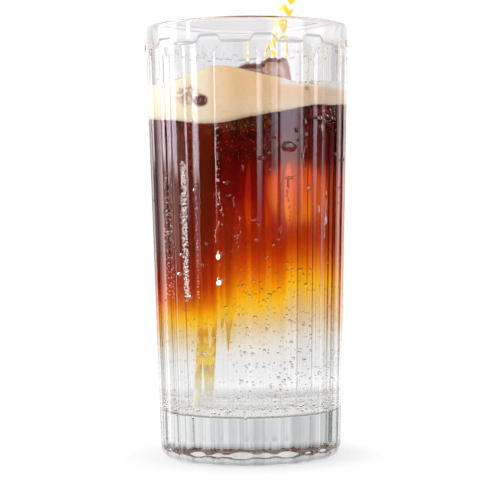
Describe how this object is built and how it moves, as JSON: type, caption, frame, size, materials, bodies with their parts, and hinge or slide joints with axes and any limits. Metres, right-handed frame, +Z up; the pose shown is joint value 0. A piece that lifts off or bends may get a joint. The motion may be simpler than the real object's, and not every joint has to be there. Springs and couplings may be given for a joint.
{
  "type": "espresso tonic",
  "caption": "Iced espresso tonic in a tall fluted glass: foam, espresso fading through amber to clear tonic, one ice cube poking out, and a chevron paper straw.",
  "frame": {"origin": "centre of the glass's flat underside, on the surface it stands on", "axes": "+Z up along the glass's axis; -Y is the side that the picture shows and +X is to the right seen from it"},
  "size_m": [0.076, 0.0829, 0.2047],
  "materials": {
    "glass": "clear pressed glass, wet outside",
    "straw": "matte printed paper, yellow and white chevrons",
    "ice": "wet ice stained by coffee",
    "foam": "fine coffee foam",
    "espresso": "dark clear coffee",
    "amber": "coffee thinning into tonic",
    "tonic": "clear fizzy water"
  },
  "bodies": {
    "root": {"glass": "glass", "straw": "straw", "ice": "ice", "foam": "foam", "espresso": "espresso", "amber": "amber", "tonic": "tonic"}
  },
  "joints": []
}
